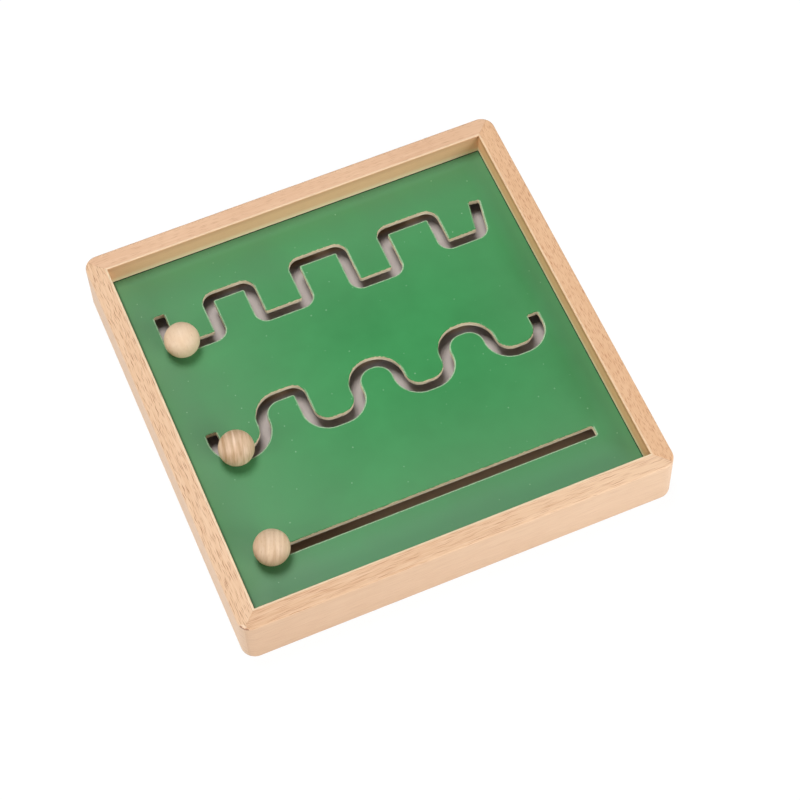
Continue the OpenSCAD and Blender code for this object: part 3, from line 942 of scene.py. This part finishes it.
knobs = {
    "square": {"place": (-79.8, 50.3), "look": {**plainTurned, "shift": (13, 2, 5), "bands": 0.06, "streaks": 0.2}},
    "round": {"place": (-77.0122, -16.2942),
              "look": {**plainTurned, "turn": (0, -4, 102), "bands": 0.15, "bandSpacing": 3.4,
                       "pale": (247, 218, 190), "deep": (188, 151, 114), "shift": (3, 7, 2), "bandBend": 0.7,
                       "streaks": 0.7, "streakWidth": 2.4, "flatten": 0.12}},
    "straight": {"place": (-80.8, -72.0),
                 "look": {**plainTurned, "turn": (0, -10, 110), "bands": 0.1, "bandSpacing": 2.1,
                          "shift": (7, 4, 1), "bandBend": 1.6, "streaks": 0.5, "streakWidth": 1.8,
                          "flatten": 0.12, "pale": (237, 210, 180), "deep": (203, 166, 131), "fleckShare": 0.5}},
}


def ballSection():
    size = knobSize
    radius, middle, low, bore = size["ballRadius"], size["ballMiddle"], size["ballFlat"], size["boreRadius"]
    wide, high = size["boreEase"]
    flat = math.asin((low - middle) / radius)
    section = [(0.0, size["boreTop"]), (bore, size["boreTop"]), (bore, low + high), (bore + wide, low)]
    for k in range(size["ballSteps"]):
        angle = flat + (math.pi / 2 - flat) * k / size["ballSteps"]
        section.append((radius * math.cos(angle), middle + radius * math.sin(angle)))
    return section + [(0.0, middle + radius)]


# The outside of a peg or washer, upwards, with eased corners
def easedSide(radius, low, high, ease):
    return [(radius - ease, low), (radius, low + ease), (radius, (low + high) / 2), (radius, high - ease),
            (radius - ease, high)]


def pegSection():
    size = knobSize
    low, high, pilot, top = size["pegLow"], size["pegHigh"], size["pilotRadius"], size["pilotTop"]
    return [(0.0, top), (pilot, top - size["pilotPoint"]), (pilot, low),
            *easedSide(size["pegRadius"], low, high, size["pegEase"]), (0.0, high)]


def washerSection():
    size = knobSize
    low, high, bore = size["washerLow"], size["washerHigh"], size["washerBore"]
    return [(bore, high), (bore, low), *easedSide(size["washerRadius"], low, high, size["washerChamfer"])]


# A pan-head screw, upwards into the peg, with a rolled thread and a cross recess under its head
def makeScrew(name, place):
    size = knobSize
    sides, perTurn = 24, 8
    points = []
    def addRing(radiusAt, height):
        for k in range(sides):
            angle = math.tau * k / sides
            points.append(aroundAxis(place, radiusAt(angle), angle, height))
    # The recess: a cross whose arms point along the four quarters
    def armed(reach, waist):
        return lambda angle: waist + (reach - waist) * abs(math.cos(2 * angle)) ** 6
    low, high, top = size["headLow"], size["headHigh"], size["shankTop"]
    for reach, waist, rise in size["recess"]:
        addRing(armed(reach, waist), low + rise)
    for radius, rise in size["dome"]:
        addRing(lambda angle: radius, low + rise)
    pitch, crest, root = size["threadPitch"], size["threadCrest"], size["threadRoot"]
    addRing(lambda angle: crest, high)
    rows = int((top - high) / pitch * perTurn)
    for row in range(1, rows + 1):
        height = high + (top - high) * row / rows
        taper = min(1.0, (top - height) / size["threadTaper"]) ** 0.7
        start = min(1.0, (height - high) / size["threadStart"])
        def threaded(angle):
            phase = (height / pitch - angle / math.tau) % 1.0
            ridge = max(0.0, 1 - abs(phase - 0.5) / 0.3) * start
            return max(0.05, (root + (crest - root) * ridge) * taper)
        addRing(threaded, height)
    return makePiece(name, points, ringFaces(len(points) // sides, sides, capped=True), sharpAngle=32)


steel = makeSteel("zinc_steel", steelLook)
pegWood = makeTurnedWood("peg_wood", {**plainTurned, "turn": (0, 90, 0), "pale": (226, 192, 150),
                                      "deep": (198, 158, 116), "rough": 0.55})
plywood = makePlywood("washer_plywood", plywoodLook, knobSize["washerLow"], knobSize["washerHigh"])
for track, knob in knobs.items():
    place = knob["place"]
    parts = {
        "ball": (makeTurned(f"{track}_track_ball_turned", ballSection(), place, 72), "knob", "ball_wood",
                 makeTurnedWood(f"{track}_ball_wood", knob["look"])),
        "peg": (makeTurned(f"{track}_track_peg_dowel", pegSection(), place, 40), "knob", "peg_wood", pegWood),
        "washer": (makeTurned(f"{track}_track_washer_ply", washerSection(), place, 56, closed=True), "slider",
                   "washer_plywood", plywood),
        "screw": (makeScrew(f"{track}_track_screw_threaded", place), "knob", "screw_steel", steel),
    }
    for kind, (piece, body, slotName, material) in parts.items():
        piece.data.materials.append(material)
        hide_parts(f"{track}_track_{kind}")
        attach(piece, f"{track}_{body}")
print("knobs made:", ", ".join(knobs))


# Geometry Nodes: one piece repeated in a row, and the row repeated round the frame
def buildRepeatTree():
    tree = bpy.data.node_groups.new("repeatRoundFrame", "GeometryNodeTree")
    for label, kind in (("Geometry", "Geometry"), ("Start", "Vector"), ("Step", "Vector"), ("Count", "Int"),
                        ("Turns", "Int"), ("Finish", "Material")):
        tree.interface.new_socket(name=label, in_out="INPUT", socket_type="NodeSocket" + kind)
    tree.interface.new_socket(name="Geometry", in_out="OUTPUT", socket_type="NodeSocketGeometry")
    given = tree.nodes.new("NodeGroupInput").outputs
    made = tree.nodes.new("NodeGroupOutput").inputs
    row = outputOf("GeometryNodeMeshLine", {"Count": given["Count"], "Start Location": given["Start"],
                                            "Offset": given["Step"]}, mode="OFFSET")
    single = outputOf("GeometryNodeInstanceOnPoints", {"Points": row, "Instance": given["Geometry"]})
    middle = outputOf("GeometryNodeMeshLine", {"Count": given["Turns"], "Offset": (0, 0, 0)}, mode="OFFSET")
    index = addNode(tree, "GeometryNodeInputIndex").outputs[0]
    angle = times(index, mathOf("DIVIDE", math.tau, given["Turns"]))
    spin = outputOf("ShaderNodeCombineXYZ", {2: angle})
    ring = outputOf("GeometryNodeInstanceOnPoints", {"Points": middle, "Instance": single, "Rotation": spin})
    real = outputOf("GeometryNodeRealizeInstances", {0: ring})
    finished = outputOf("GeometryNodeSetMaterial", {"Geometry": real, "Material": given["Finish"]})
    tree.links.new(finished, made[0])
    return tree


# Runs a tree on a source piece and returns the result as a plain mesh piece
def runTree(tree, source, name, values):
    modifier = source.modifiers.new("nodes", "NODES")
    modifier.node_group = tree
    for item in tree.interface.items_tree:
        if item.item_type == "SOCKET" and item.in_out == "INPUT" and item.name in values:
            modifier[item.identifier] = values[item.name]
    source.update_tag()
    bpy.context.view_layer.update()
    shaped = source.evaluated_get(bpy.context.evaluated_depsgraph_get())
    mesh = bpy.data.meshes.new_from_object(shaped)
    mesh.name = name
    source.modifiers.remove(modifier)
    bpy.data.objects.remove(source)
    return linked(bpy.data.objects.new(name, mesh))


repeatTree = buildRepeatTree()
pinSize = {"shankRadius": 0.6, "length": 9.0, "headRadius": 1.14, "headHeight": 0.6, "low": 3.8, "spacing": 140.0,
           "out": 102.35, "rings": 9, "ringStep": 0.28, "ringDepth": 0.07}
dowelSize = {"radius": 2.0, "length": 8.0, "flutes": 14, "fluteDepth": 0.12, "ease": 0.45, "out": 105.0,
             "heights": (10.4, 23.65)}


# A ringed panel pin that points up, its head below
def makePin():
    size = pinSize
    shank, head, neck, top = size["shankRadius"], size["headRadius"], size["headHeight"], size["length"]
    section = [(0.0, 0.0), (head - 0.35, 0.0), (head - 0.1, 0.08), (head, 0.25), (head, neck - 0.08),
               (head - 0.1, neck)]
    for k in range(size["rings"]):
        height = neck + 0.15 + k * size["ringStep"]
        section += [(shank, height), (shank - size["ringDepth"], height + size["ringStep"] / 2)]
    section += [(shank, neck + 2.7), (shank, top - 1.4), (shank * 0.55, top - 0.6), (0.0, top)]
    return makeTurned("pin_source", section, (0, 0), 20)


# A fluted dowel across the mitre, drawn at the +X +Y corner
def makeDowel():
    size = dowelSize
    sides = size["flutes"] * 4
    end = 0.5 - size["ease"] / size["length"]
    rows = [(-0.5, size["ease"]), (-end, 0.0), (end, 0.0), (0.5, size["ease"])]
    points = []
    corner = Vector((size["out"], size["out"], 0))
    axis = Vector((-1, 1, 0)).normalized()
    side = Vector((1, 1, 0)).normalized()
    for share, ease in rows:
        middle = corner + axis * share * size["length"]
        for k in range(sides):
            angle = math.tau * k / sides
            radius = size["radius"] - ease - (size["fluteDepth"] if k % 4 == 0 else 0.0)
            points.append(middle + side * radius * math.cos(angle) + up * radius * math.sin(angle))
    return makePiece("dowel_source", points, ringFaces(len(rows), sides, flipped=True, capped=True))


dowelWood = makeTurnedWood("dowel_beech", {**plainTurned, "turn": (0, 0, 45), "pale": (224, 186, 146),
                                           "deep": (196, 152, 112), "rough": 0.6})
pins = runTree(repeatTree, makePin(), "base_board_pins_ringed", {
    "Start": (-pinSize["spacing"] / 2 * mm, -pinSize["out"] * mm, pinSize["low"] * mm),
    "Step": (pinSize["spacing"] * mm, 0.0, 0.0), "Count": 2, "Turns": 4, "Finish": steel})
dowels = runTree(repeatTree, makeDowel(), "corner_dowels_fluted", {
    "Start": (0.0, 0.0, dowelSize["heights"][0] * mm),
    "Step": (0.0, 0.0, (dowelSize["heights"][1] - dowelSize["heights"][0]) * mm), "Count": 2, "Turns": 4,
    "Finish": dowelWood})
for piece, node, slotName in ((pins, "base_board_pins", "pin_steel"), (dowels, "corner_dowels", "dowel_beech")):
    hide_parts(node)
    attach(piece, "board")
print("pins and dowels made")


# 1 for the rays that see a plain white surrounding: from the camera, and in gloss or glass
def seenOf(tree):
    path = addNode(tree, "ShaderNodeLightPath").outputs
    return largest(path["Is Camera Ray"], path["Is Glossy Ray"], path["Is Transmission Ray"])


def turnedTo(item, place, aim):
    item.location = place
    item.rotation_mode = "QUATERNION"
    item.rotation_quaternion = (Vector(aim) - Vector(place)).to_track_quat("-Z", "Y")


# Pale plain floor that reads white from the camera and keeps a soft shadow
floorLook = {"size": 4.0, "shade": (214, 214, 214), "shadeDeep": (210, 210, 210), "lift": 0.84, "glow": 1.1}


def makeFloor(look):
    half = look["size"] / 2 / mm
    floor = makePiece("floor", [(-half, -half, 0), (half, -half, 0), (half, half, 0), (-half, half, 0)], [[0, 1, 2, 3]])
    material, tree, shader = newMaterial("pale_floor")
    mottle = mottleOf(grainSpace(tree), 400.0, 60.0)
    shade = blendOf(times(mottle["Tone"], 0.3), look["shade"], look["shadeDeep"])
    tree.links.new(shade, shader["Base Color"])
    shader["Roughness"].default_value = 0.9
    shader["Specular IOR Level"].default_value = 0.0
    glow = addNode(tree, "ShaderNodeEmission", {"Strength": look["glow"]}).outputs[0]
    plain = tree.nodes["Principled BSDF"].outputs[0]
    mixed = addNode(tree, "ShaderNodeMixShader", {0: times(seenOf(tree), look["lift"]), 1: plain, 2: glow})
    tree.links.new(mixed.outputs[0], tree.nodes["Material Output"].inputs["Surface"])
    floor.data.materials.append(material)


lightPlan = {
    "skyStrength": 0.14,
    "aim": (0, 0, 0.02),
    "lamps": {  # place and width in metres, power in watts
        "overheadKey": {"place": (-0.10, 0.38, 1.44), "width": 0.7, "power": 12.2},
        "frontFill": {"place": (0.82, -1.2, 0.58), "width": 1.1, "power": 15.7},
        "leftFill": {"place": (-1.4, -0.35, 0.5), "width": 1.0, "power": 10.2},
    },
}


def makeLights(plan):
    world = bpy.data.worlds.new("white_studio")
    bpy.context.scene.world = world
    world.use_nodes = True
    tree = world.node_tree
    sky = tree.nodes["Background"].inputs
    tree.links.new(rangeOf(seenOf(tree), 0.0, 1.0, plan["skyStrength"], 1.0), sky["Strength"])
    sky["Color"].default_value = (1, 1, 1, 1)
    for name, lamp in plan["lamps"].items():
        light = bpy.data.lights.new(name, "AREA")
        light.shape = "DISK"
        light.size = lamp["width"]
        light.energy = lamp["power"]
        turnedTo(linked(bpy.data.objects.new(name, light)), lamp["place"], plan["aim"])


cameraView = {
    "place": (-0.20295, -0.57063, 1.05309),
    "aim": (0.006446, -0.018182, 0.015),
    "roll": -2.512,  # degrees
    "lens": 111.02,
    "sensor": 36,
    "clip": (0.01, 20),
}


def makeCamera(view):
    camera = linked(bpy.data.objects.new("camera", bpy.data.cameras.new("camera")))
    turnedTo(camera, view["place"], view["aim"])
    camera.rotation_quaternion = camera.rotation_quaternion @ Quaternion((0, 0, 1), math.radians(view["roll"]))
    camera.data.lens = view["lens"]
    camera.data.sensor_width = view["sensor"]
    camera.data.clip_start, camera.data.clip_end = view["clip"]
    bpy.context.scene.camera = camera


makeFloor(floorLook)
makeLights(lightPlan)
makeCamera(cameraView)
bpy.context.scene.view_settings.view_transform = "Standard"
